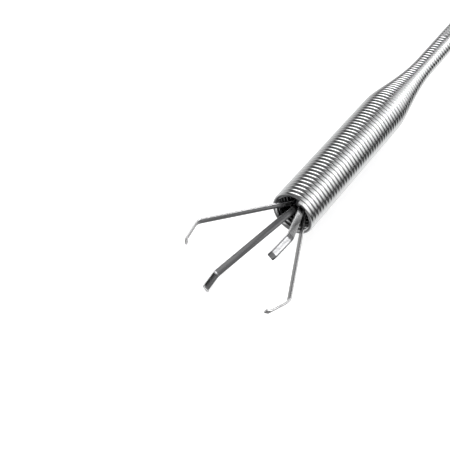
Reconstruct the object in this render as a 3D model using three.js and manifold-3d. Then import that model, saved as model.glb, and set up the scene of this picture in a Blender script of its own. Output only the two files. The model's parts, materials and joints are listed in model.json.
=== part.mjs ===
// Flexible claw pick-up tool: a long close-wound steel sheath with a wide coil nose, four spring
// claws that open out of the nose, and a thumb plunger with a finger flange at the other end.
// Millimetres. The tool's axis is the X axis: the claws point along -X, and the origin is the
// centre of the thumb button's flat end face. +Z is up. The claws are drawn open, with the
// plunger pressed in.
import * as THREE from 'three';
import { mergeVertices } from 'three/addons/utils/BufferGeometryUtils.js';
import Module from 'manifold-3d';

// ---------------------------------------------------------------------------------------------
// Driving dimensions
// ---------------------------------------------------------------------------------------------
const FIT_GAP = 0.3; // clearance between pieces that seat in or on each other
const CUT_OVERRUN = 1; // how far a cutting body runs past the face that it cuts
const FINE_SIDES = 32; // sides of the round pieces that show
const COARSE_SIDES = 20; // sides of the thin round pieces
const WAIST_STEPS = 12; // faces along the flange's waist

// sheath: one close-wound wire, wide at the nose
const NOSE_RADIUS = 5.5;
const NOSE_LENGTH = 45;
const TAPER_LENGTH = 25;
const TAPER_START_POWER = 1.35; // how softly the taper leaves the nose
const TAPER_END_POWER = 2.2; // how softly it runs into the shaft
const SHAFT_RADIUS = 2.75;
const SHAFT_BORE_RADIUS = 1.55;
const WOUND_SHAFT_LENGTH = 12; // turns of the shaft that belong to the nose winding
const SHAFT_LENGTH = 400;
const COIL_PITCH = 1.2;
const COIL_WIRE_RADIUS = 0.39; // drawn thinner than the 1.2 mm wire, to keep the turns apart
const COIL_STEPS = 8; // steps in a turn
const COIL_SIDES = 5; // sides of the wire
const COIL_START_ANGLE = 342; // the cut end of the wire, in degrees from up, towards +Y
const LEAST_COIL_GAP = 0.4;

// claws: bent strips of spring steel
const CLAW_WIDTH = 1.45;
const CLAW_THICKNESS = 0.3;
const CLAW_TAIL = 2.2; // behind the hinge line
const CLAW_ROOT = 0.6; // from the hinge line to the bend inside the mouth
const CLAW_ROOT_RADIUS = 1.7; // from the tool's axis to the root
const CLAW_BEND_DEPTH = 3.8; // how far inside the mouth the root bend lies
const CLAW_LEG = 23.4; // from the root bend to the elbow
const CLAW_HOOK = 5.5; // from the elbow to the tip bend
const CLAW_TIP = 1; // past the tip bend
const HOOK_BEND = 44; // degrees that the elbow turns inwards
const TIP_BEND = 35; // degrees that the tip turns further inwards
const ELBOW_RADIUS = 1; // bend radius at the elbow, on the middle of the strip
const SMALL_BEND_RADIUS = 0.6;
const BEND_STEPS = 4;
// direction: degrees from up, towards +Y. spread: degrees that the leg leans away from the axis.
const CLAWS = [
  { name: 'claw_side', direction: 78, spread: 34 },
  { name: 'claw_low', direction: 136.8, spread: 29.2 },
  { name: 'claw_far', direction: 241.1, spread: 25.3 },
  { name: 'claw_top', direction: 323.4, spread: 33.6 },
];

// plunger line, from the claws to the thumb
const CLAW_TRAVEL = 4.5; // how far the plunger draws the claws back
const FERRULE_RADIUS = 3.1;
const FERRULE_LENGTH = 9;
const FERRULE_CORE_RADIUS = 1.25; // floor of the claw slots
const WIRE_RADIUS = 0.75;
const WIRE_SEAT = 4.5; // how deep the wire sits in the ferrule
const CRIMP_RADIUS = 2.8;
const CRIMP_LENGTH = 16;
const CRIMP_ROD_SEAT = 8;
const ROD_RADIUS = 2;
const ROD_LENGTH = 62;
const ROD_GROOVE_RADIUS = 1.5;
const CLIP_RADIUS = 3.8;
const CLIP_THICKNESS = 0.8;
const CLIP_DISTANCE = 33; // from the rod's thumb end to the clip
const COLLAR_RADIUS = 5;
const COLLAR_LENGTH = 2.5;
const SPRING_RADIUS = 4.6;
const SPRING_WIRE = 1.2;

// thumb button
const BUTTON_RADIUS = 8;
const BUTTON_HEAD = 4.5;
const BUTTON_EDGE = 1.2; // rounding of the head's edges
const BUTTON_NECK_RADIUS = 4;
const BUTTON_NECK = 5;
const BUTTON_FLOOR = 3.2; // metal between the thumb face and the rod's hole
const BUTTON_SCREW_RADIUS = 1;
const BUTTON_SCREW_PLACE = 2.4; // from the neck's open end

// handle
const BUMPER_RADIUS = 4.6;
const BUMPER_LENGTH = 1.5;
const BUSH_HEAD_RADIUS = 7.5;
const BUSH_HEAD = 2.2;
const FLANGE_WIDTH = 36;
const FLANGE_HEIGHT = 19.8;
const FLANGE_WAIST = 17; // height between the two fingers' places
const FLANGE_FOOT = 3.4; // flat on each lobe's edge, on which the tool lies
const FLANGE_THICKNESS = 2.5;
const BARREL_RADIUS = 6.5;
const BARREL_WALL = 1;
const BARREL_LENGTH = 80;
const SOCKET_PLUG = 12; // part of the front socket inside the barrel
const SOCKET_SHOULDER = 3;
const SOCKET_CONE = 12;
const SOCKET_END_RADIUS = 4;
const SOCKET_DEPTH = 16; // how deep the sheath sits in the socket
const SOCKET_SCREW_RADIUS = 1.3;
const SOCKET_SCREW_PLACE = 3.2; // from the shoulder's front edge, towards the claws

// ---------------------------------------------------------------------------------------------
// Places along the axis, measured from the thumb face towards the claws
// ---------------------------------------------------------------------------------------------
const buttonEnd = BUTTON_HEAD + BUTTON_NECK;
const bumperStart = buttonEnd + FIT_GAP;
const bushStart = bumperStart + BUMPER_LENGTH + FIT_GAP;
const flangeStart = bushStart + BUSH_HEAD + FIT_GAP;
const barrelStart = flangeStart + FLANGE_THICKNESS + FIT_GAP;
const barrelEnd = barrelStart + BARREL_LENGTH;
const rodStart = BUTTON_FLOOR + FIT_GAP;
const rodEnd = rodStart + ROD_LENGTH;
const clipStart = rodStart + CLIP_DISTANCE;
const collarStart = clipStart + CLIP_THICKNESS + FIT_GAP;
const bushEnd = clipStart - CLAW_TRAVEL - FIT_GAP;
const shoulderStart = barrelEnd + FIT_GAP;
const socketStart = barrelEnd - SOCKET_PLUG;
const shoulderEnd = shoulderStart + SOCKET_SHOULDER;
const socketEnd = shoulderEnd + SOCKET_CONE;
const shaftStart = socketEnd - SOCKET_DEPTH + FIT_GAP;
const windingStart = shaftStart + SHAFT_LENGTH + FIT_GAP;
const mouth = windingStart + WOUND_SHAFT_LENGTH + TAPER_LENGTH + NOSE_LENGTH;
const springStart = collarStart + COLLAR_LENGTH + FIT_GAP;
const springEnd = socketStart - FIT_GAP;
const crimpStart = rodEnd - CRIMP_ROD_SEAT;
const hingeLine = mouth - CLAW_BEND_DEPTH - CLAW_ROOT;
const ferruleStart = hingeLine - FERRULE_LENGTH;
const wireStart = rodEnd + 2 * FIT_GAP;
const wireEnd = ferruleStart + WIRE_SEAT;

const barrelBore = BARREL_RADIUS - BARREL_WALL;
const plugRadius = barrelBore - FIT_GAP;
const rodBore = ROD_RADIUS + FIT_GAP;
const wireBore = WIRE_RADIUS + FIT_GAP;
const sheathBore = SHAFT_RADIUS + FIT_GAP;

// ---------------------------------------------------------------------------------------------
// Materials
// ---------------------------------------------------------------------------------------------
const finish = (color, roughness, metalness) => new THREE.MeshStandardMaterial({ color, roughness, metalness });
const CHROME = finish(0xd9dbde, 0.12, 1);
const SPRING_STEEL = finish(0x9a9b9d, 0.35, 1);
const DARK_STEEL = finish(0x3a3b3d, 0.5, 1);
const RUBBER = finish(0x1c1c1d, 0.85, 0);

// ---------------------------------------------------------------------------------------------
// Shape helpers
// ---------------------------------------------------------------------------------------------
const radians = THREE.MathUtils.degToRad;

// A solid of revolution about the tool's axis. Each point is [distance from the thumb face,
// radius]. The profile runs towards the claws on its outer side and closes on itself, or starts
// and ends on the axis.
function turned(profile, sides = FINE_SIDES) {
  const points = profile.map(([distance, radius]) => new THREE.Vector2(radius, distance));
  return new THREE.LatheGeometry(points, sides).rotateZ(Math.PI / 2);
}

// A turned ring with one outer and one inner radius.
function ring(start, end, outer, inner, sides = FINE_SIDES) {
  return turned([[start, inner], [start, outer], [end, outer], [end, inner], [start, inner]], sides);
}

// A plain round rod along the axis.
function rod(start, end, radius, sides = COARSE_SIDES) {
  return turned([[start, 0], [start, radius], [end, radius], [end, 0]], sides);
}

// A cylinder that stands on the axis and points along +Z, from one radius to another.
function upright(distance, bottom, top, radius, sides = COARSE_SIDES) {
  const height = top - bottom;
  const body = new THREE.CylinderGeometry(radius, radius, height, sides).rotateX(Math.PI / 2);
  return body.translate(-distance, 0, bottom + height / 2);
}

const wasm = await Module();
wasm.setup();

function toSolid(geometry) {
  const bare = geometry.clone();
  bare.deleteAttribute('normal');
  bare.deleteAttribute('uv');
  const merged = mergeVertices(bare, 1e-4);
  const mesh = new wasm.Mesh({
    numProp: 3,
    vertProperties: new Float32Array(merged.attributes.position.array),
    triVerts: new Uint32Array(merged.index.array),
  });
  return new wasm.Manifold(mesh);
}

function toGeometry(solid) {
  const mesh = solid.getMesh();
  const geometry = new THREE.BufferGeometry();
  geometry.setAttribute('position', new THREE.BufferAttribute(mesh.vertProperties, 3));
  geometry.setIndex(new THREE.BufferAttribute(mesh.triVerts, 1));
  geometry.computeVertexNormals();
  return geometry;
}

function cut(geometry, cutters) {
  return toGeometry(cutters.reduce((body, cutter) => body.subtract(toSolid(cutter)), toSolid(geometry)));
}

function piece(name, geometry, material) {
  const mesh = new THREE.Mesh(geometry, material);
  mesh.name = name;
  return mesh;
}

// ---------------------------------------------------------------------------------------------
// Sheath
// ---------------------------------------------------------------------------------------------

// Radius of the sheath's outside at a depth behind the mouth.
function sheathRadius(depth) {
  const along = THREE.MathUtils.clamp((depth - NOSE_LENGTH) / TAPER_LENGTH, 0, 1);
  const share = (1 - along ** TAPER_START_POWER) ** TAPER_END_POWER;
  return SHAFT_RADIUS + (NOSE_RADIUS - SHAFT_RADIUS) * share;
}

// The wound wire: one unbroken tube from the cut end at the mouth, wound right-handed towards
// the thumb. Its first and last sections stand square to the wire.
function windingGeometry() {
  const length = mouth - windingStart - 2 * COIL_WIRE_RADIUS;
  const steps = Math.floor((length / COIL_PITCH) * COIL_STEPS);
  const positions = [];
  for (let step = 0; step <= steps; step += 1) {
    const turn = step / COIL_STEPS;
    const depth = COIL_WIRE_RADIUS + turn * COIL_PITCH;
    const angle = radians(COIL_START_ANGLE) - turn * 2 * Math.PI;
    const centre = sheathRadius(depth) - COIL_WIRE_RADIUS;
    for (let side = 0; side < COIL_SIDES; side += 1) {
      const around = (side / COIL_SIDES) * 2 * Math.PI;
      const radius = centre + COIL_WIRE_RADIUS * Math.cos(around);
      const along = -mouth + depth + COIL_WIRE_RADIUS * Math.sin(around);
      positions.push(along, radius * Math.sin(angle), radius * Math.cos(angle));
    }
  }
  const faces = [];
  for (let step = 0; step < steps; step += 1) {
    for (let side = 0; side < COIL_SIDES; side += 1) {
      const next = (side + 1) % COIL_SIDES;
      const near = step * COIL_SIDES;
      const far = near + COIL_SIDES;
      faces.push(near + side, far + side, near + next);
      faces.push(near + next, far + side, far + next);
    }
  }
  const last = steps * COIL_SIDES;
  for (let side = 1; side < COIL_SIDES - 1; side += 1) {
    faces.push(0, side, side + 1);
    faces.push(last, last + side + 1, last + side);
  }
  const geometry = new THREE.BufferGeometry();
  geometry.setAttribute('position', new THREE.Float32BufferAttribute(positions, 3));
  geometry.setIndex(faces);
  geometry.computeVertexNormals();
  return geometry;
}

// The least distance between points of the winding that are half a turn or more apart.
function leastCoilGap(geometry) {
  const points = geometry.attributes.position;
  const a = new THREE.Vector3();
  const b = new THREE.Vector3();
  const reach = COIL_SIDES * COIL_STEPS;
  let least = Infinity;
  for (let i = 0; i < points.count; i += 1) {
    a.fromBufferAttribute(points, i);
    for (let j = i + reach / 2; j < Math.min(points.count, i + 2 * reach); j += 1) {
      least = Math.min(least, a.distanceTo(b.fromBufferAttribute(points, j)));
    }
  }
  return least;
}

function sheathPieces() {
  const winding = windingGeometry();
  const gap = leastCoilGap(winding);
  console.log(`nose_spring: least gap between turns ${gap.toFixed(3)} mm, wanted over ${LEAST_COIL_GAP} mm`);
  return [
    piece('nose_spring', winding, CHROME),
    piece('flex_shaft', ring(shaftStart, shaftStart + SHAFT_LENGTH, SHAFT_RADIUS, SHAFT_BORE_RADIUS), CHROME),
  ];
}

// ---------------------------------------------------------------------------------------------
// Claws
// ---------------------------------------------------------------------------------------------

// The middle line of a claw in its own plane, as [forward, outward] points from the hinge line,
// with each corner turned into an arc.
function clawLine(spread) {
  const corners = [
    { forward: -CLAW_TAIL, outward: 0 },
    { forward: CLAW_ROOT, outward: 0, bend: SMALL_BEND_RADIUS },
  ];
  const runs = [
    { length: CLAW_LEG, heading: spread, bend: ELBOW_RADIUS },
    { length: CLAW_HOOK, heading: spread - HOOK_BEND, bend: SMALL_BEND_RADIUS },
    { length: CLAW_TIP, heading: spread - HOOK_BEND - TIP_BEND },
  ];
  for (const { length, heading, bend } of runs) {
    const from = corners.at(-1);
    corners.push({
      forward: from.forward + length * Math.cos(radians(heading)),
      outward: from.outward + length * Math.sin(radians(heading)),
      bend,
    });
  }
  const points = [];
  corners.forEach((corner, i) => {
    const here = new THREE.Vector2(corner.forward, corner.outward);
    if (!corner.bend) {
      points.push(here);
      return;
    }
    const before = new THREE.Vector2(corners[i - 1].forward, corners[i - 1].outward).sub(here).normalize();
    const after = new THREE.Vector2(corners[i + 1].forward, corners[i + 1].outward).sub(here).normalize();
    const half = Math.acos(before.dot(after)) / 2;
    const setback = corner.bend / Math.tan(half);
    const start = here.clone().addScaledVector(before, setback);
    const end = here.clone().addScaledVector(after, setback);
    const curve = new THREE.QuadraticBezierCurve(start, here, end);
    points.push(...curve.getPoints(BEND_STEPS));
  });
  return points;
}

// A strip of even thickness along the middle line, as wide as the claw.
function clawGeometry(spread) {
  const line = clawLine(spread);
  const outer = [];
  const inner = [];
  line.forEach((point, i) => {
    const before = line[Math.max(i - 1, 0)];
    const after = line[Math.min(i + 1, line.length - 1)];
    const heading = after.clone().sub(before).normalize();
    const side = new THREE.Vector2(-heading.y, heading.x).multiplyScalar(CLAW_THICKNESS / 2);
    outer.push(point.clone().add(side));
    inner.push(point.clone().sub(side));
  });
  const outline = new THREE.Shape([...inner, ...outer.reverse()]);
  const strip = new THREE.ExtrudeGeometry(outline, { depth: CLAW_WIDTH, bevelEnabled: false });
  return strip.translate(0, 0, -CLAW_WIDTH / 2);
}

// Turns a claw's own plane (forward, outward, across) into the tool's frame.
function clawPlacement(direction) {
  const angle = radians(direction);
  const forward = new THREE.Vector3(-1, 0, 0);
  const outward = new THREE.Vector3(0, Math.sin(angle), Math.cos(angle));
  const across = forward.clone().cross(outward);
  const origin = outward.clone().multiplyScalar(CLAW_ROOT_RADIUS);
  origin.x = -hingeLine;
  return new THREE.Matrix4().makeBasis(forward, outward, across).setPosition(origin);
}

function clawPieces() {
  return CLAWS.map(({ name, direction, spread }) => {
    const claw = piece(name, clawGeometry(spread), SPRING_STEEL);
    claw.applyMatrix4(clawPlacement(direction));
    return claw;
  });
}

// The ferrule that holds the claws' roots: a slot for each claw, open to the front and outwards,
// and a bore for the pull wire at the back.
function ferruleGeometry() {
  const body = rod(ferruleStart, hingeLine, FERRULE_RADIUS, FINE_SIDES);
  const slotBack = CLAW_TAIL + FIT_GAP;
  const slotLength = slotBack + CUT_OVERRUN;
  const slotDepth = FERRULE_RADIUS + CUT_OVERRUN - FERRULE_CORE_RADIUS;
  const slots = CLAWS.map(({ direction }) => {
    const slot = new THREE.BoxGeometry(slotLength, slotDepth, CLAW_WIDTH + 2 * FIT_GAP);
    slot.translate(slotLength / 2 - slotBack, slotDepth / 2 + FERRULE_CORE_RADIUS - CLAW_ROOT_RADIUS, 0);
    return slot.applyMatrix4(clawPlacement(direction));
  });
  const bore = rod(ferruleStart - CUT_OVERRUN, wireEnd + FIT_GAP, wireBore);
  return cut(body, [...slots, bore]);
}

// ---------------------------------------------------------------------------------------------
// Plunger line
// ---------------------------------------------------------------------------------------------
function crimpGeometry() {
  const end = crimpStart + CRIMP_LENGTH;
  const step = rodEnd + FIT_GAP;
  return turned([
    [crimpStart, rodBore],
    [crimpStart, CRIMP_RADIUS],
    [end, CRIMP_RADIUS],
    [end, wireBore],
    [step, wireBore],
    [step, rodBore],
    [crimpStart, rodBore],
  ], COARSE_SIDES);
}

function rodGeometry() {
  const grooveStart = clipStart - FIT_GAP;
  const grooveEnd = clipStart + CLIP_THICKNESS + FIT_GAP;
  return turned([
    [rodStart, 0],
    [rodStart, ROD_RADIUS],
    [grooveStart, ROD_RADIUS],
    [grooveStart, ROD_GROOVE_RADIUS],
    [grooveEnd, ROD_GROOVE_RADIUS],
    [grooveEnd, ROD_RADIUS],
    [rodEnd, ROD_RADIUS],
    [rodEnd, 0],
  ], COARSE_SIDES);
}

function buttonGeometry() {
  const head = turned([
    [0, 0],
    [0, BUTTON_RADIUS - BUTTON_EDGE],
    [BUTTON_EDGE * 0.3, BUTTON_RADIUS - BUTTON_EDGE * 0.3],
    [BUTTON_EDGE, BUTTON_RADIUS],
    [BUTTON_HEAD - BUTTON_EDGE, BUTTON_RADIUS],
    [BUTTON_HEAD, BUTTON_RADIUS - BUTTON_EDGE],
    [BUTTON_HEAD, BUTTON_NECK_RADIUS],
    [buttonEnd, BUTTON_NECK_RADIUS],
    [buttonEnd, rodBore],
    [BUTTON_FLOOR, rodBore],
    [BUTTON_FLOOR, 0],
  ]);
  const screwHole = upright(
    buttonEnd - BUTTON_SCREW_PLACE,
    ROD_RADIUS,
    BUTTON_NECK_RADIUS + CUT_OVERRUN,
    BUTTON_SCREW_RADIUS + FIT_GAP,
  );
  return cut(head, [screwHole]);
}

function plungerPieces() {
  const clipBore = ROD_GROOVE_RADIUS + FIT_GAP;
  const buttonScrew = upright(buttonEnd - BUTTON_SCREW_PLACE, rodBore, BUTTON_NECK_RADIUS, BUTTON_SCREW_RADIUS);
  return [
    piece('claw_ferrule', ferruleGeometry(), DARK_STEEL),
    piece('pull_wire', rod(wireStart, wireEnd, WIRE_RADIUS, COIL_STEPS), SPRING_STEEL),
    piece('wire_crimp', crimpGeometry(), DARK_STEEL),
    piece('plunger_rod', rodGeometry(), SPRING_STEEL),
    piece('rod_clip', ring(clipStart, clipStart + CLIP_THICKNESS, CLIP_RADIUS, clipBore, COARSE_SIDES), DARK_STEEL),
    piece('spring_collar', ring(collarStart, collarStart + COLLAR_LENGTH, COLLAR_RADIUS, rodBore), SPRING_STEEL),
    piece('return_spring', ring(springStart, springEnd, SPRING_RADIUS, SPRING_RADIUS - SPRING_WIRE), SPRING_STEEL),
    piece('thumb_button', buttonGeometry(), CHROME),
    piece('button_screw', buttonScrew, DARK_STEEL),
  ];
}

// ---------------------------------------------------------------------------------------------
// Handle
// ---------------------------------------------------------------------------------------------

// The bush at the thumb end: its head covers the flange, its plug fills the barrel's end, and
// the rod runs through it.
function rearBushGeometry() {
  const headEnd = bushStart + BUSH_HEAD;
  return turned([
    [bushStart, rodBore],
    [bushStart, BUSH_HEAD_RADIUS],
    [headEnd, BUSH_HEAD_RADIUS],
    [headEnd, plugRadius],
    [bushEnd, plugRadius],
    [bushEnd, rodBore],
    [bushStart, rodBore],
  ]);
}

// A plate with two round lobes and a waist: two fingers pull on it while the thumb presses. Each
// lobe has a flat foot on its edge, above and below.
function flangeGeometry() {
  const half = FLANGE_HEIGHT / 2;
  const footEnd = FLANGE_WIDTH / 2 - half;
  const footStart = footEnd - FLANGE_FOOT;
  const waistDepth = half - FLANGE_WAIST / 2;
  const edgeHeight = (y) => half - waistDepth * (1 + Math.cos((Math.PI * y) / footStart)) / 2;
  const outline = new THREE.Shape();
  outline.absarc(footEnd, 0, half, -Math.PI / 2, Math.PI / 2, false);
  for (let step = 0; step <= WAIST_STEPS; step += 1) {
    const y = footStart * (1 - (2 * step) / WAIST_STEPS);
    outline.lineTo(y, edgeHeight(y));
  }
  outline.absarc(-footEnd, 0, half, Math.PI / 2, (3 * Math.PI) / 2, false);
  for (let step = 0; step <= WAIST_STEPS; step += 1) {
    const y = footStart * ((2 * step) / WAIST_STEPS - 1);
    outline.lineTo(y, -edgeHeight(y));
  }
  outline.closePath();
  const hole = new THREE.Path();
  hole.absarc(0, 0, barrelBore, 0, 2 * Math.PI, true);
  outline.holes.push(hole);
  const plate = new THREE.ExtrudeGeometry(outline, {
    depth: FLANGE_THICKNESS,
    bevelEnabled: false,
    curveSegments: COARSE_SIDES,
  });
  plate.rotateX(Math.PI / 2).rotateZ(Math.PI / 2);
  return plate.translate(-flangeStart - FLANGE_THICKNESS, 0, 0);
}

// The socket at the claw end of the barrel: a plug, a shoulder on the barrel's rim, and a cone
// that takes the sheath's end.
function frontSocketGeometry() {
  const sheathSeat = socketEnd - SOCKET_DEPTH;
  const body = turned([
    [socketStart, wireBore],
    [socketStart, plugRadius],
    [shoulderStart, plugRadius],
    [shoulderStart, BARREL_RADIUS],
    [shoulderEnd, BARREL_RADIUS],
    [socketEnd, SOCKET_END_RADIUS],
    [socketEnd, sheathBore],
    [sheathSeat, sheathBore],
    [sheathSeat, wireBore],
    [socketStart, wireBore],
  ]);
  const screwPlace = shoulderEnd + SOCKET_SCREW_PLACE;
  const hole = upright(screwPlace, SHAFT_RADIUS, BARREL_RADIUS + CUT_OVERRUN, SOCKET_SCREW_RADIUS + FIT_GAP);
  return cut(body, [hole]);
}

// Radius of the socket's cone at a distance from the thumb face.
function coneRadius(distance) {
  return THREE.MathUtils.mapLinear(distance, shoulderEnd, socketEnd, BARREL_RADIUS, SOCKET_END_RADIUS);
}

function handlePieces() {
  const screwPlace = shoulderEnd + SOCKET_SCREW_PLACE;
  const screwTop = coneRadius(screwPlace + SOCKET_SCREW_RADIUS);
  const socketScrew = upright(screwPlace, sheathBore, screwTop, SOCKET_SCREW_RADIUS);
  return [
    piece('bumper', ring(bumperStart, bumperStart + BUMPER_LENGTH, BUMPER_RADIUS, rodBore), RUBBER),
    piece('rear_bush', rearBushGeometry(), CHROME),
    piece('finger_flange', flangeGeometry(), CHROME),
    piece('barrel', ring(barrelStart, barrelEnd, BARREL_RADIUS, barrelBore), CHROME),
    piece('front_socket', frontSocketGeometry(), CHROME),
    piece('socket_screw', socketScrew, DARK_STEEL),
  ];
}

// ---------------------------------------------------------------------------------------------
// Assembly
// ---------------------------------------------------------------------------------------------
const tool = new THREE.Group();
tool.name = 'claw_pick_up_tool';
tool.add(...sheathPieces(), ...clawPieces(), ...plungerPieces(), ...handlePieces());

export default tool;
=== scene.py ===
"""Flexible claw pick-up tool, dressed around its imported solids.

The tool's axis is the X axis: the claws point along -X, the thumb presses at the origin, and +Z is
up. Sizes are in millimetres, and distances along the axis are measured from the thumb face towards
the claws. The sheath is one close-wound wire, the claws are strips of spring steel that ride on
their hinges, and the plunger line and the handle are turned, drawn and plated steel.
"""

from __future__ import annotations

import json
import logging
import math
from dataclasses import astuple, dataclass
from enum import Enum

import bmesh
import bpy
import numpy as np
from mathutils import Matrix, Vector

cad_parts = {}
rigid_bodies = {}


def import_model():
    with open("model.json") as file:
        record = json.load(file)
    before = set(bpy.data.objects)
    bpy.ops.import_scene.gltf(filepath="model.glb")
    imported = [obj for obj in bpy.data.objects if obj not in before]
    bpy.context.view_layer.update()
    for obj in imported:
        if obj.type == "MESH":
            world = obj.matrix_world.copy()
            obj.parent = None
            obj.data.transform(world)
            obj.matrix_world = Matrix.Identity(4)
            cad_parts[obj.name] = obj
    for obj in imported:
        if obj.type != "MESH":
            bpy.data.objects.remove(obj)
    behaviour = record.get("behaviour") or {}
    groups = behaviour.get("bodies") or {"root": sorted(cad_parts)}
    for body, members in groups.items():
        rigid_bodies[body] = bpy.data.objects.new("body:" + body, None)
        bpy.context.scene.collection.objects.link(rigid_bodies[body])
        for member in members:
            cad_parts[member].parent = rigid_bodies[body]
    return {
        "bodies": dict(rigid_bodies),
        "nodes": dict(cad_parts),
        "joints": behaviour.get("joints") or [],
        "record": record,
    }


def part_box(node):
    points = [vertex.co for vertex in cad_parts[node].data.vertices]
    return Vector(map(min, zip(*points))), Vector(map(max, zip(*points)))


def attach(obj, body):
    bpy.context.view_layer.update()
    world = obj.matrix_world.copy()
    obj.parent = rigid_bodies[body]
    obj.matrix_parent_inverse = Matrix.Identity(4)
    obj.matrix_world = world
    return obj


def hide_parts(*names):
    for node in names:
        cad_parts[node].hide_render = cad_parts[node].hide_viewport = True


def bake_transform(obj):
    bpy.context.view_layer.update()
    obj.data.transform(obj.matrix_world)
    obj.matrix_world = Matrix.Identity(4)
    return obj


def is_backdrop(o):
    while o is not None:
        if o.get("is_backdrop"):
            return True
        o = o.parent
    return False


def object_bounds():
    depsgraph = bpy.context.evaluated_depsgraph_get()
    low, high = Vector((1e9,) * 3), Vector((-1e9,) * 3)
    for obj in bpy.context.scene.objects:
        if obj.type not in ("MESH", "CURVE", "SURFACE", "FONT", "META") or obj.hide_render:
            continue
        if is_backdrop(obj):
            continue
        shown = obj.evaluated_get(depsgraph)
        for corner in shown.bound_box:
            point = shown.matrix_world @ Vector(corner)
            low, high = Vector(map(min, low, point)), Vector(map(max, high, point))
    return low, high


log = logging.getLogger("pick_up_tool")

MM = 0.001
TURN = 2 * math.pi
GRAIN = "grain"  # point attribute: two slow directions and the fine one of a surface's lines, in m
GROOVE = "groove"  # point attribute for painted shade: 1 where a turn of wire touches the next, and on the inside turns behind the mouth
BARE = "bare"  # point attribute: 1 on a strip's cut edges
SHARP_CORNER = math.radians(32)
BEVEL_CORNER = math.radians(50)
SHADING_WEIGHT = 80  # how far large faces outweigh small ones in the shading
CORE = 0.3  # radius of the flat that closes the end of a solid turned piece
HOLE_PLAY = 0.3  # between a grub screw and its hole
UPRIGHT_SIDES = 48  # faces round a grub screw and its hole

Profile = list[tuple[float, float, float]]  # distance, radius and rounding of each corner
Levels = tuple[tuple[float, float], ...]  # places and the levels there, in order
Place = tuple[float, float, float]
Colour = tuple[float, float, float]
Input = object  # a socket to link from, or a value to set
Piece = bpy.types.Object
Node = bpy.types.Node
Socket = bpy.types.NodeSocket


class Body(Enum):
    """The bodies of the tool that pieces ride on."""

    HANDLE = "handle"
    PLUNGER = "plunger"


class Slot(Enum):
    """The record's material slots."""

    SHEATH = "sheath"
    CLAW = "claw"
    STEEL = "steel"
    DARK_STEEL = "dark_steel"
    CHROME = "chrome"
    RUBBER = "rubber"


# ---- Shader node groups and finishes ----
class Wiring:
    """Adds nodes to a node tree and joins their sockets."""

    def __init__(self, tree: bpy.types.NodeTree) -> None:
        """Takes the tree to work in: a material's, world's or group's."""
        self.tree = tree

    def add(self, kind: str, inputs: dict[int | str, Input] | None = None, **settings: object) -> Node:
        """Adds one node.

        Args:
            kind: the node's type name without its ShaderNode prefix.
            inputs: what goes into each input, by index or name: a socket or a plain value.
            settings: properties of the node.

        Returns:
            The new node.
        """
        prefix = "" if kind.startswith("NodeGroup") else "ShaderNode"
        node = self.tree.nodes.new(prefix + kind)
        for name, value in settings.items():
            setattr(node, name, value)
        for key, value in (inputs or {}).items():
            self.feed(node.inputs[key], value)
        return node

    def feed(self, socket: Socket, value: Input) -> None:
        """Links a socket to an input, or sets the input's value.

        Args:
            socket: the socket to fill.
            value: what goes into it.
        """
        if isinstance(value, bpy.types.NodeSocket):
            self.tree.links.new(value, socket)
        else:
            socket.default_value = value

    def math(self, operation: str, *values: Input) -> Socket:
        """The result of a Math node."""
        return self.add("Math", dict(enumerate(values)), operation=operation).outputs[0]

    def vector(self, operation: str, first: Input, second: Input) -> Socket:
        """The result of a Vector Math node, from the output that its operation fills."""
        node = self.add("VectorMath", {0: first, 1: second}, operation=operation)
        return node.outputs["Value" if operation in ("DOT_PRODUCT", "DISTANCE") else "Vector"]

    def noise(self, place: Input, scale: Input, detail: float, **more: float) -> Socket:
        """The value of a noise texture. More gives its other inputs by name."""
        return self.add("TexNoise", {"Vector": place, "Scale": scale, "Detail": detail, **more}).outputs[0]

    def ramp(self, value: Input, low: float, high: float, below: float = 0.0, above: float = 1.0) -> Socket:
        """A smooth step of a value from one range to another.

        Args:
            value: the value that runs.
            low: where the step starts.
            high: where it ends.
            below: the result below the step.
            above: the result above it.

        Returns:
            The stepped value.
        """
        inputs = {0: value, 1: low, 2: high, 3: below, 4: above}
        return self.add("MapRange", inputs, interpolation_type="SMOOTHSTEP").outputs[0]

    def mix(self, part: Input, first: Input, second: Input) -> Socket:
        """A colour between two colours."""
        return self.add("Mix", {0: part, 6: first, 7: second}, data_type="RGBA").outputs[2]


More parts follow.
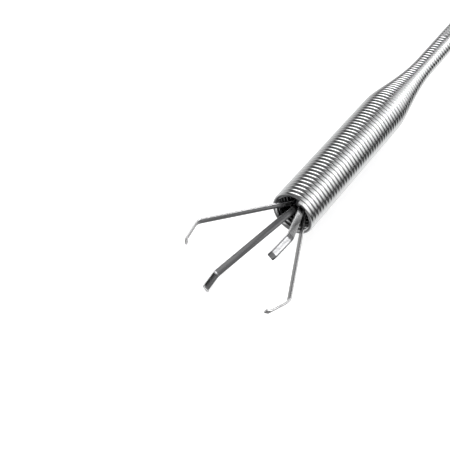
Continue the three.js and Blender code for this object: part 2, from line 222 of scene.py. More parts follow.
class Effects:
    """The shader node groups that the finishes share. Each is built once."""

    HAIR_STRETCH = (1.7, 1.7, 5.3)  # how much finer the hairs are than the lines
    SCRATCH_WAYS = ((0.6, (0.07, 1.0, 1.0)), (2.1, (1.0, 0.06, 1.0)))  # turn about Z, and stretch

    def __init__(self) -> None:
        """Builds every group."""
        self.drawn_grain = self._drawn_grain()
        self.hairlines = self._hairlines()
        self.smudges = self._smudges()

    @staticmethod
    def _start(
        name: str, inputs: tuple[str, ...], outputs: tuple[str, ...]
    ) -> tuple[Wiring, bpy.types.NodeOutputs, bpy.types.NodeInputs]:
        """Starts a node group. Its input named Vector is a vector, and the others are numbers.

        Args:
            name: the group's name.
            inputs: the names of its inputs.
            outputs: the names of its outputs.

        Returns:
            The group's wiring, the sockets that it is given and those that it fills.
        """
        tree = bpy.data.node_groups.new(name, "ShaderNodeTree")
        for side, labels in (("INPUT", inputs), ("OUTPUT", outputs)):
            for label in labels:
                kind = "NodeSocketVector" if label == "Vector" else "NodeSocketFloat"
                tree.interface.new_socket(label, in_out=side, socket_type=kind)
        wires = Wiring(tree)
        return wires, wires.add("NodeGroupInput").outputs, wires.add("NodeGroupOutput").inputs

    def _drawn_grain(self) -> bpy.types.NodeTree:
        """Makes lines that run along a drawn, rolled or turned surface.

        Returns:
            The group.
        """
        wires, given, result = self._start("drawn_grain", ("Vector", "Fine", "Slow"), ("Lines", "Hairs"))
        scale = wires.add("CombineXYZ", {0: given["Slow"], 1: given["Slow"], 2: given["Fine"]})
        place = wires.vector("MULTIPLY", given["Vector"], scale.outputs[0])
        lines = wires.noise(place, 1.0, 4.0, Roughness=0.62)
        hairs = wires.noise(wires.vector("MULTIPLY", place, self.HAIR_STRETCH), 1.0, 2.0, Roughness=0.5)
        wires.feed(result["Lines"], wires.ramp(lines, 0.3, 0.7))
        wires.feed(result["Hairs"], wires.ramp(hairs, 0.35, 0.68))
        return wires.tree

    def _hairlines(self) -> bpy.types.NodeTree:
        """Makes sparse fine scratches from use, in two directions.

        Returns:
            The group.
        """
        wires, given, result = self._start("hairlines", ("Vector", "Scale", "Share"), ("Mask",))
        masks = []
        for turn, stretch in self.SCRATCH_WAYS:
            values = {"Vector": given["Vector"], "Angle": turn}
            spun = wires.add("VectorRotate", values, rotation_type="Z_AXIS")
            noise = wires.noise(wires.vector("MULTIPLY", spun.outputs[0], stretch), given["Scale"], 2.0)
            off = wires.math("ABSOLUTE", wires.math("SUBTRACT", noise, 0.5))
            masks.append(wires.ramp(wires.math("DIVIDE", off, given["Share"]), 0.0, 1.0, 1.0, 0.0))
        wires.feed(result["Mask"], wires.math("MAXIMUM", *masks))
        return wires.tree

    def _smudges(self) -> bpy.types.NodeTree:
        """Makes soft clouds of handling marks and thin oil.

        Returns:
            The group.
        """
        wires, given, result = self._start("smudges", ("Vector", "Scale"), ("Mask",))
        clouds = wires.noise(given["Vector"], given["Scale"], 3.0, Roughness=0.55, Distortion=0.6)
        wires.feed(result["Mask"], wires.ramp(clouds, 0.42, 0.66))
        return wires.tree


@dataclass(frozen=True)
class Finish:
    """One surface finish: a base with lines along its grain, hairline scratches and smudges."""

    slot: Slot
    colour: Colour
    line_colour: Colour
    roughness: float
    metallic: float = 1.0
    fine: float = 3000.0  # lines per metre across the grain
    slow: float = 60.0  # changes per metre along it
    line_tone: float = 0.3  # how far the lines take the line colour
    line_rough: float = 0.06  # how far the lines change the roughness
    line_depth: float = 0.0015  # height of the lines, in mm
    scratch_scale: float = 700.0
    scratch_share: float = 0.012
    scratch_rough: float = 0.12
    smudge_scale: float = 90.0
    smudge_rough: float = 0.05
    groove_shade: float = 0.0  # how dark the painted shade is in the grooves between turns of wire and on the inside turns
    # colour of the painted shade
    groove_shade_colour: Colour = (0.03, 0.03, 0.032)
    groove_shade_range: tuple[float, float] = (0.72, 0.97)  # of the groove attribute, over which the painted shade comes in
    bare: Colour | None = None  # colour of the edges where the surface is cut bare
    bare_range: tuple[float, float] = (0.3, 0.7)  # of the bare attribute
    coat: float = 0.0  # weight of a film of oil
    coat_rough: float = 0.1

    def material(self, effects: Effects) -> bpy.types.Material:
        """Builds the finish as a material.

        Args:
            effects: the shared node groups.

        Returns:
            The new material, named for its slot.
        """
        material = bpy.data.materials.new(self.slot.value)
        material.use_nodes = True
        wires = Wiring(material.node_tree)
        shader = material.node_tree.nodes["Principled BSDF"]
        grain = wires.add("Attribute", attribute_name=GRAIN).outputs["Vector"]
        place = wires.add("TexCoord").outputs["Object"]
        values = {"Vector": grain, "Fine": self.fine, "Slow": self.slow}
        lines = wires.add("Group", values, node_tree=effects.drawn_grain).outputs
        values = {"Vector": place, "Scale": self.scratch_scale, "Share": self.scratch_share}
        marks = wires.add("Group", values, node_tree=effects.hairlines).outputs[0]
        values = {"Vector": place, "Scale": self.smudge_scale}
        smudge = wires.add("Group", values, node_tree=effects.smudges).outputs[0]
        tone = wires.math("MULTIPLY", lines["Lines"], self.line_tone)
        colour = wires.mix(tone, (*self.colour, 1.0), (*self.line_colour, 1.0))
        # painted shade: darkens the base colour in the grooves between turns of wire and on the inside turns
        if self.groove_shade:
            groove = wires.add("Attribute", attribute_name=GROOVE).outputs["Fac"]
            painted_shade = wires.math("MULTIPLY", wires.ramp(groove, *self.groove_shade_range), self.groove_shade)
            colour = wires.mix(painted_shade, colour, (*self.groove_shade_colour, 1.0))
        if self.bare:
            cut = wires.add("Attribute", attribute_name=BARE).outputs["Fac"]
            colour = wires.mix(wires.ramp(cut, *self.bare_range), colour, (*self.bare, 1.0))
        rough = wires.math("MULTIPLY_ADD", lines["Hairs"], self.line_rough, self.roughness)
        for mask, change in ((smudge, self.smudge_rough), (marks, self.scratch_rough)):
            rough = wires.math("MULTIPLY_ADD", mask, change, rough)
        height = wires.math("SUBTRACT", lines["Hairs"], marks)
        bump = wires.add("Bump", {"Height": height, "Distance": self.line_depth * MM, "Strength": 1.0})
        sockets = {
            "Base Color": colour, "Roughness": rough, "Normal": bump.outputs[0], "Metallic": self.metallic,
            "Coat Weight": self.coat, "Coat Roughness": self.coat_rough,
        }
        for name, value in sockets.items():
            wires.feed(shader.inputs[name], value)
        return material


FINISHES = (
    Finish(
        # the sheath's grooves and inside turns carry painted shade
        Slot.SHEATH, (0.82, 0.825, 0.83), (0.66, 0.665, 0.67), 0.07,
        fine=5200.0, slow=45.0, line_tone=0.35, line_rough=0.05, line_depth=0.0008, groove_shade=0.85,
    ),
    Finish(
        Slot.CLAW, (0.07, 0.07, 0.073), (0.24, 0.24, 0.244), 0.12,
        fine=1900.0, slow=40.0, line_tone=0.8, line_rough=0.1, line_depth=0.0018, scratch_share=0.02,
        bare=(0.64, 0.64, 0.645), coat=0.4,
    ),
    Finish(
        Slot.STEEL, (0.62, 0.625, 0.63), (0.48, 0.485, 0.49), 0.2,
        fine=2600.0, slow=25.0, line_tone=0.4, line_rough=0.1, line_depth=0.002,
    ),
    Finish(
        Slot.DARK_STEEL, (0.06, 0.06, 0.064), (0.15, 0.15, 0.155), 0.36,
        fine=1800.0, slow=40.0, line_tone=0.3, line_rough=0.12, line_depth=0.003, scratch_share=0.02,
    ),
    Finish(
        Slot.CHROME, (0.84, 0.845, 0.85), (0.7, 0.705, 0.71), 0.06,
        fine=4200.0, slow=20.0, line_tone=0.25, line_rough=0.05, line_depth=0.0005,
    ),
    Finish(
        Slot.RUBBER, (0.022, 0.022, 0.023), (0.04, 0.04, 0.041), 0.72, metallic=0.0,
        fine=900.0, slow=900.0, line_tone=0.5, line_rough=0.12, line_depth=0.02, scratch_share=0.004,
    ),
)


# ---- Meshes ----
@dataclass(frozen=True)
class Seat:
    """Where a node lies along the tool, in millimetres from the thumb face."""

    start: float
    end: float
    radius: float

    @classmethod
    def of(cls, node: str) -> Seat:
        """The seat of a node, from its box."""
        low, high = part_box(node)
        return cls(-high.x / MM, -low.x / MM, (high.y - low.y) / 2 / MM)


@dataclass(frozen=True)
class ScrewSeat:
    """Where a grub screw stands: its distance from the thumb face, its radius and its heights."""

    place: float
    radius: float
    bottom: float
    top: float

    @classmethod
    def of(cls, node: str) -> ScrewSeat:
        """The seat of a screw, from its box."""
        low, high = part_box(node)
        return cls(-(low.x + high.x) / 2 / MM, (high.y - low.y) / 2 / MM, low.z / MM, high.z / MM)


def put(name: str, data: bpy.types.ID) -> Piece:
    """Makes an object of some data and links it to the scene.

    Args:
        name: the object's name.
        data: its mesh, light or camera.

    Returns:
        The new object.
    """
    item = bpy.data.objects.new(name, data)
    bpy.context.scene.collection.objects.link(item)
    return item


def skin(name: str, rings: np.ndarray, wrap: bool = False) -> Piece:
    """Makes a closed mesh through rings of points.

    Args:
        name: the piece's name.
        rings: points in millimetres in the row frame, shaped (ring, point, 3).
        wrap: True where the last ring joins the first, as round a bore; otherwise each end is
            closed by a flat face.

    Returns:
        The new object, smooth with sharp corners.
    """
    count, around = rings.shape[:2]
    index = np.arange(count * around).reshape(count, around)
    here = index if wrap else index[:-1]
    after = np.roll(index, -1, axis=0) if wrap else index[1:]
    quads = np.stack([here, np.roll(here, -1, 1), np.roll(after, -1, 1), after], axis=-1)
    faces = quads.reshape(-1, 4).tolist()
    if not wrap:
        faces += [index[0][::-1].tolist(), index[-1].tolist()]
    mesh = bpy.data.meshes.new(name)
    mesh.from_pydata((rings.reshape(-1, 3) * MM).tolist(), [], faces)
    shape = bmesh.new()
    shape.from_mesh(mesh)
    if shape.calc_volume(signed=True) < 0:
        bmesh.ops.reverse_faces(shape, faces=shape.faces)
    shape.to_mesh(mesh)
    shape.free()
    mesh.shade_smooth()
    mesh.set_sharp_from_angle(angle=SHARP_CORNER)
    return put(name, mesh)


def write_attribute(piece: Piece, name: str, values: np.ndarray) -> None:
    """Stores a number or vector for each point of a piece.

    Args:
        piece: the piece.
        name: the attribute's name.
        values: one number or one vector a point.
    """
    vectors = values.ndim == 2
    attribute = piece.data.attributes.new(name, "FLOAT_VECTOR" if vectors else "FLOAT", "POINT")
    attribute.data.foreach_set("vector" if vectors else "value", values.astype(np.float32).ravel())


def points_of(piece: Piece) -> np.ndarray:
    """The points of a piece's mesh, shaped (point, 3), in metres."""
    return np.array([vertex.co for vertex in piece.data.vertices], float)


def turned_grain(piece: Piece) -> None:
    """Gives a turned piece lines that run round the tool's axis."""
    x, y, z = points_of(piece).T
    write_attribute(piece, GRAIN, np.stack([y, z, x + np.hypot(y, z)], axis=-1))


def share(values: np.ndarray, low: float, high: float) -> np.ndarray:
    """How far values have come from a low limit to a high one, from 0 to 1."""
    return np.clip((values - low) / (high - low), 0, 1)


def run_along(points: np.ndarray) -> np.ndarray:
    """The way run along a line of points, at each of them."""
    return np.concatenate([[0.0], np.cumsum(np.linalg.norm(np.diff(points, axis=0), axis=1))])


def rounded(corners: Profile, closed: bool, steps: int = 4) -> np.ndarray:
    """Rounds the corners of a profile.

    Args:
        corners: distance, radius and rounding of each corner.
        closed: True if the last corner joins the first.
        steps: faces in a rounded corner.

    Returns:
        Points of distance and radius, shaped (point, 2).
    """
    places = np.array([corner[:2] for corner in corners], float)
    count = len(places)
    points = []
    for i, (_, _, bend) in enumerate(corners):
        here = places[i]
        if not bend or (not closed and i in (0, count - 1)):
            points.append(here)
            continue
        before = places[i - 1] - here
        after = places[(i + 1) % count] - here
        before /= np.linalg.norm(before)
        after /= np.linalg.norm(after)
        half = math.acos(float(np.clip(before @ after, -1, 1))) / 2
        setback = bend / math.tan(half)
        middle = here + (before + after) / np.linalg.norm(before + after) * bend / math.sin(half)
        first = here + before * setback - middle
        last = here + after * setback - middle
        sweep = math.pi - 2 * half
        for part in np.arange(steps + 1) / steps:
            weight = (math.sin((1 - part) * sweep), math.sin(part * sweep))
            points.append(middle + (first * weight[0] + last * weight[1]) / math.sin(sweep))
    return np.array(points)


def turned(name: str, corners: Profile, bore: bool = True, sides: int = 96) -> Piece:
    """Turns a profile about the tool's axis.

    Args:
        name: the piece's name.
        corners: distance, radius and rounding of each corner, in order round the profile.
        bore: True where the profile closes on itself round a bore; otherwise its first and last
            rings are closed by flat faces.
        sides: faces round the axis.

    Returns:
        The turned piece, with its grain.
    """
    profile = rounded(corners, bore)
    angle = np.linspace(0, TURN, sides, endpoint=False)
    along = np.repeat(-profile[:, :1], sides, axis=1)
    radius = profile[:, 1:]
    piece = skin(name, np.stack([along, radius * np.sin(angle), radius * np.cos(angle)], axis=-1), wrap=bore)
    turned_grain(piece)
    even_shading(piece)
    return piece


def even_shading(piece: Piece) -> None:
    """Keeps the large faces of a piece flat next to its rounded corners.

    Args:
        piece: the piece to shade.
    """
    modifier = piece.modifiers.new("even_shading", "WEIGHTED_NORMAL")
    modifier.keep_sharp = True
    modifier.weight = SHADING_WEIGHT


def soften(piece: Piece, width: float) -> None:
    """Breaks the sharp edges of a piece.

    Args:
        piece: the piece.
        width: width of the broken edges.
    """
    bevel = piece.modifiers.new("edges", "BEVEL")
    bevel.width = width * MM
    bevel.segments = 2
    bevel.limit_method = "ANGLE"
    bevel.angle_limit = BEVEL_CORNER


def coil(
    name: str, along: np.ndarray, middle: np.ndarray, angle: np.ndarray, wire: float, sides: int,
    swell: np.ndarray | float = 1.0,
) -> tuple[Piece, np.ndarray]:
    """Winds round wire about the tool's axis.

    Args:
        name: the piece's name.
        along: where the middle of the wire is along X, at each station.
        middle: its distance from the axis.
        angle: its angle round the axis, in radians from up.
        wire: radius of the wire.
        sides: faces round the wire.
        swell: share of the wire's radius that a station has.

    Returns:
        The wound wire with its grain, and the angles of its faces round the wire.
    """
    around = np.linspace(0, TURN, sides, endpoint=False) + math.pi
    reach = (wire * swell * np.ones_like(along))[:, None]
    radius = middle[:, None] + reach * np.cos(around)
    x = along[:, None] + reach * np.sin(around)
    y, z = radius * np.sin(angle)[:, None], radius * np.cos(angle)[:, None]
    piece = skin(name, np.stack([x, y, z], axis=-1))
    run = np.concatenate([[0.0], np.cumsum(np.abs(np.diff(angle)) * middle[1:])])[:, None]
    grain = np.stack(np.broadcast_arrays(run, 0.0 * run, around * wire), axis=-1)
    write_attribute(piece, GRAIN, grain.reshape(-1, 3) * MM)
    return piece, around


def tube(node: str, bore: float, edge: float) -> Profile:
    """The profile of a plain tube with rounded edges, in the place of a node."""
    start, end, outer = astuple(Seat.of(node))
    return [(start, bore, edge), (start, outer, edge), (end, outer, edge), (end, bore, edge)]


def rolled(
    start: float, width: float, slope: float, radii: tuple[float, float], rims: tuple[float, float]
) -> Profile:
    """The profile of a groove rolled into a tube.

    Args:
        start: distance of its first edge.
        width: its whole width.
        slope: width of each of its slopes.
        radii: radius outside it and at its floor.
        rims: rounding of its edges and of its floor.

    Returns:
        Its four corners.
    """
    end = start + width
    (outer, floor), (rim, foot) = radii, rims
    return [(start, outer, rim), (start + slope, floor, foot), (end - slope, floor, foot), (end, outer, rim)]


def drill(piece: Piece, seat: ScrewSeat, bottom: float, top: float, sink: float) -> None:
    """Cuts an upright hole for a screw, with a sunk rim, into the top of a piece.

    Args:
        piece: the piece to cut.
        seat: the screw's seat.
        bottom: height where the hole starts.
        top: height of its rim.
        sink: width of the sunk rim.
    """
    radius = seat.radius + HOLE_PLAY
    above = 2.0  # how far the cutter stands out
    wide = radius + sink
    rings = [(bottom, radius), (top - sink, radius), (top, wide), (top + above, wide + above)]
    cutter = upright("cutter", seat.place, rings)
    modifier = piece.modifiers.new("hole", "BOOLEAN")
    modifier.operation = "DIFFERENCE"
    modifier.solver = "EXACT"
    modifier.object = cutter
    piece.modifiers.move(len(piece.modifiers) - 1, 0)
    shading = [m for m in piece.modifiers if m.type == "WEIGHTED_NORMAL"]
    for other in shading:
        other.show_viewport = False
    bpy.context.view_layer.update()
    drilled = bpy.data.meshes.new_from_object(piece.evaluated_get(bpy.context.evaluated_depsgraph_get()))
    for other in shading:
        other.show_viewport = True
    piece.modifiers.remove(modifier)
    old = piece.data
    piece.data = drilled
    drilled.name = piece.name
    bpy.data.meshes.remove(old)
    bpy.data.objects.remove(cutter)


def upright(name: str, place: float, rings: list[tuple[float, float]], hexagons: int = 0) -> Piece:
    """Makes a round body that stands on the tool's axis and points up.

    Args:
        name: the piece's name.
        place: its distance from the thumb face.
        rings: height and radius of each ring.
        hexagons: how many of the last rings are hexagons and not circles.

    Returns:
        The new object.
    """
    angle = np.linspace(0, TURN, UPRIGHT_SIDES, endpoint=False)
    sixth = TURN / 6
    hexagon = math.cos(sixth / 2) / np.cos(angle % sixth - sixth / 2)
    points = []
    for i, (height, radius) in enumerate(rings):
        reach = radius * (hexagon if i >= len(rings) - hexagons else np.ones_like(angle))
        x, y = reach * np.cos(angle) - place, reach * np.sin(angle)
        points.append(np.stack([x, y, np.full_like(x, height)], axis=-1))
    return skin(name, np.array(points))


def grub_screw(node: str) -> Piece:
    """Makes a grub screw with a hexagon socket in the place of a node.

    Args:
        node: the node that the screw replaces.

    Returns:
        The screw.
    """
    seat = ScrewSeat.of(node)
    chamfer = 0.18 * seat.radius
    socket = 0.52 * seat.radius
    lead, lead_depth = 1.12 * socket, 0.06
    narrow = seat.radius - chamfer
    floor = seat.top - 0.55 * (seat.top - seat.bottom)
    rings = [
        (seat.bottom, narrow), (seat.bottom + chamfer, seat.radius), (seat.top - chamfer, seat.radius),
        (seat.top, narrow), (seat.top, lead), (seat.top - lead_depth, socket), (floor, socket),
    ]
    screw = upright(node + "_piece", seat.place, rings, hexagons=3)
    write_attribute(screw, GRAIN, points_of(screw))
    even_shading(screw)
    return screw


class Dresser:
    """Puts finished pieces on their bodies."""

    def __init__(self) -> None:
        """Builds the finishes."""
        effects = Effects()
        self.materials = {finish.slot: finish.material(effects) for finish in FINISHES}

    def dress(self, piece: Piece, slot: Slot, body: str, *nodes: str) -> None:
        """Gives a piece its finish and body, and hides the nodes that it replaces.

        Args:
            piece: the finished piece.
            slot: its finish.
            body: the body that it rides on.
            nodes: the nodes that it replaces.
        """
        self.paint(piece, slot)
        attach(piece, body)
        if nodes:
            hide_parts(*nodes)
        log.info("%s rides on %s, %d faces", piece.name, body, len(piece.data.polygons))

    def paint(self, piece: Piece, slot: Slot) -> None:
        """Gives a piece its finish only.

        Args:
            piece: the piece.
            slot: its finish.
        """
        piece.data.materials.clear()
        piece.data.materials.append(self.materials[slot])


# ---- Sheath ----
@dataclass
class Sheath:
    """One close-wound wire: a wide nose that tapers into the long shaft."""

    mouth: float = 578.8  # distance of the nose's open end
    nose_radius: float = 5.5
    nose_length: float = 45.0
    taper_length: float = 25.0
    taper_start_power: float = 1.35
    taper_end_power: float = 2.2
    shaft_radius: float = 2.75
    pitch: float = 1.2
    wire_radius: float = 0.597  # a hair under half the pitch, so that the turns only touch
    first_angle: float = 342.0  # the wire's cut end, in degrees from up, towards +Y
    nose_faces: tuple[int, int] = (80, 14)  # along one turn, and round the wire
    shaft_faces: tuple[int, int] = (40, 8)
    cut_edge: float = 0.05  # rounding of the wire's cut end
    inner_side: float = -0.1  # cosine round the wire below which it faces the axis
    dark_depths: tuple[float, float] = (1.6, 2.8)  # depths over which painted shade darkens the inside turns
    groove_shade_fade_depths: tuple[float, float] = (38.0, 60.0)  # depths over which the painted shade in the grooves weakens
    groove_shade_fade_share: float = 0.22

    def outside(self, depth: np.ndarray) -> np.ndarray:
        """Radius of the sheath's outside at depths behind the mouth.

        Args:
            depth: the depths.

        Returns:
            A radius for each.
        """
        along = share(depth, self.nose_length, self.nose_length + self.taper_length)
        left = (1 - along**self.taper_start_power) ** self.taper_end_power
        return self.shaft_radius + (self.nose_radius - self.shaft_radius) * left

    def winding(self, name: str, first: float, last: float, faces: tuple[int, int]) -> Piece:
        """Winds the wire between two turns, right-handed towards the thumb.

        Args:
            name: the piece's name.
            first: the turn where it starts, counted from the mouth.
            last: the turn where it ends.
            faces: faces along a turn and round the wire.

        Returns:
            The wound wire.
        """
        steps, sides = faces
        turn = np.linspace(first, last, int(round((last - first) * steps)) + 1)
        swell = np.ones_like(turn)
        if first == 0:
            turn = np.insert(turn, 1, self.cut_edge / (TURN * self.nose_radius))
            swell = np.insert(swell, 0, 1 - self.cut_edge / self.wire_radius)
        depth = self.wire_radius + turn * self.pitch
        middle = self.outside(depth) - self.wire_radius
        angle = math.radians(self.first_angle) - turn * TURN
        piece, around = coil(name, depth - self.mouth, middle, angle, self.wire_radius, sides, swell)
        # painted shade: the grooves between turns and the inside turns behind the mouth are marked for
        # darkening in colour
        inside = share(depth, *self.dark_depths)[:, None] * (np.cos(around) < self.inner_side)
        groove_shade_fade = share(depth, *self.groove_shade_fade_depths)[:, None]
        groove = np.abs(np.sin(around)) * (1 - self.groove_shade_fade_share * groove_shade_fade)
        write_attribute(piece, GROOVE, np.maximum(groove, inside).ravel())
        return piece

    def build(self, dresser: Dresser) -> None:
        """Makes the nose winding and the shaft's two halves.

        Args:
            dresser: gives the pieces their finish.
        """
        shaft = Seat.of("flex_shaft")
        whole = self.mouth - 2 * self.wire_radius
        front, back = ((whole - place) / self.pitch for place in (shaft.end, shaft.start))
        middle = round((front + back) / 2)
        for name, first, last, faces, node in (
            ("nose_winding", 0, front, self.nose_faces, "nose_spring"),
            ("shaft_winding_front", front, middle, self.shaft_faces, "flex_shaft"),
            ("shaft_winding_back", middle, back, self.shaft_faces, "flex_shaft"),
        ):
            dresser.dress(self.winding(name, first, last, faces), Slot.SHEATH, Body.HANDLE.value, node)


# ---- Claws ----
@dataclass(frozen=True)
class Claw:
    """One claw's place round the axis."""

    name: str
    direction: float  # degrees from up, towards +Y
    spread: float  # degrees that the leg leans away from the axis
    offset: float = 1.0  # side on which the strip is thicker than its root: 1 outside, -1 inside


@dataclass
class Claws:
    """Four bent strips of spring steel that stand open out of the nose."""

    hinge_line: float = 574.4
    root_radius: float = 1.7
    width: float = 1.45  # at the root, which is pressed narrower and thinner to fit the ferrule
    thickness: float = 0.3
    leg_width: float = 1.72
    leg_thickness: float = 0.5
    growth: float = 3.5  # length over which the root turns into the full strip
    crown: float = 0.02  # how far the strip's faces bulge
    edge: float = 0.1  # rounding of the strip's edges
    edge_faces: int = 5
    face_parts: int = 6  # parts across the strip
    tail: float = 2.2
    root: float = 0.6
    leg: float = 23.4
    hook: float = 5.5
    tip: float = 1.0
    hook_bend: float = 44.0
    tip_bend: float = 35.0
    elbow_radius: float = 2.0
    small_bend_radius: float = 0.6
    bend_faces: int = 12
    places: tuple[Claw, ...] = (
        Claw("claw_side", 78, 34),
        Claw("claw_low", 136.8, 29.2),
        Claw("claw_far", 241.1, 25.3),
        Claw("claw_top", 323.4, 33.6, -1.0),
    )

    def line(self, spread: float) -> np.ndarray:
        """Draws the strip's middle line in its own plane, forward and outward from the hinge line.

        Args:
            spread: degrees that the leg leans away from the axis.

        Returns:
            Points shaped (point, 2), with further ones along the straight runs.
        """
        corners: Profile = [(-self.tail, 0.0, 0.0), (self.root, 0.0, self.small_bend_radius)]
        runs = (
            (self.leg, spread, self.elbow_radius),
            (self.hook, spread - self.hook_bend, self.small_bend_radius),
            (self.tip, spread - self.hook_bend - self.tip_bend, 0.0),
        )
        for length, heading, bend in runs:
            forward, outward, _ = corners[-1]
            turn = math.radians(heading)
            corners.append((forward + length * math.cos(turn), outward + length * math.sin(turn), bend))
        points = rounded(corners, closed=False, steps=self.bend_faces)
        result = [points[0]]
        for before, here in zip(points[:-1], points[1:]):
            parts = max(1, int(np.linalg.norm(here - before) / self.width))
            result += [before + (here - before) * k / parts for k in range(1, parts + 1)]
        return np.array(result)

    def section(self) -> np.ndarray:
        """Draws the strip's cross-section at its root.

        Returns:
            Points across the strip and through it, shaped (point, 2).
        """
        half_width, half_thick = self.width / 2, self.thickness / 2
        signs = ((-1, -1), (1, -1), (1, 1), (-1, 1))
        corners = [(x * half_width, y * half_thick, self.edge) for x, y in signs]
        points = rounded(corners, closed=True, steps=self.edge_faces)
        filled = []
        for here, after in zip(points, np.roll(points, -1, axis=0)):
            filled.append(here)
            if np.linalg.norm(after - here) > half_width:
                filled += [here + (after - here) * k / self.face_parts for k in range(1, self.face_parts)]
        result = np.array(filled)
        result[:, 1] -= np.sign(result[:, 1]) * self.crown * (result[:, 0] / half_width) ** 2
        return result

    def strip(self, claw: Claw) -> Piece:
        """Bends one claw from strip.

        Args:
            claw: its place and spread.

        Returns:
            The finished strip.
        """
        line = self.line(claw.spread)
        heading = np.gradient(line, axis=0)
        heading /= np.linalg.norm(heading, axis=1)[:, None]
        side = np.stack([-heading[:, 1], heading[:, 0]], axis=-1)
        first, last = line[0] + heading[0] * self.edge, line[-1] - heading[-1] * self.edge
        line = np.vstack([line[0], first, line[1:-1], last, line[-1]])
        side = np.vstack([side[0], side, side[-1]])
        scale = np.ones(len(line))
        scale[[0, -1]] = 1 - 2 * self.edge / self.width
        angle = math.radians(claw.direction)
        forward = np.array([-1.0, 0.0, 0.0])
        outward = np.array([0.0, math.sin(angle), math.cos(angle)])
        basis = np.stack([forward, outward])
        through = side @ basis
        length = run_along(line)
        bend = self.tail + self.root
        grown = share(length, bend, bend + self.growth)
        wide = scale * (1 + grown * (self.leg_width / self.width - 1))
        thick = scale * (1 + grown * (self.leg_thickness / self.thickness - 1))
        shift = claw.offset * grown * (self.leg_thickness - self.thickness) / 2
        origin = outward * self.root_radius + forward * self.hinge_line
        middle = origin + line @ basis + shift[:, None] * through
        section = self.section()
        rings = (
            middle[:, None]
            + wide[:, None, None] * section[None, :, :1] * np.cross(forward, outward)
            + thick[:, None, None] * section[None, :, 1:] * through[:, None]
        )
        piece = skin(claw.name + "_strip", rings)
        grain = np.stack(np.broadcast_arrays(length[:, None], claw.direction, run_along(section)), axis=-1)
        write_attribute(piece, GRAIN, grain.reshape(-1, 3) * MM)
        cut = np.abs(section[:, 0]) > self.width / 2 - self.edge * 0.9
        write_attribute(piece, BARE, np.tile(cut, len(line)))
        even_shading(piece)
        return piece

    def build(self, dresser: Dresser) -> None:
        """Makes the four claws."""
        for claw in self.places:
            dresser.dress(self.strip(claw), Slot.CLAW, claw.name, claw.name)


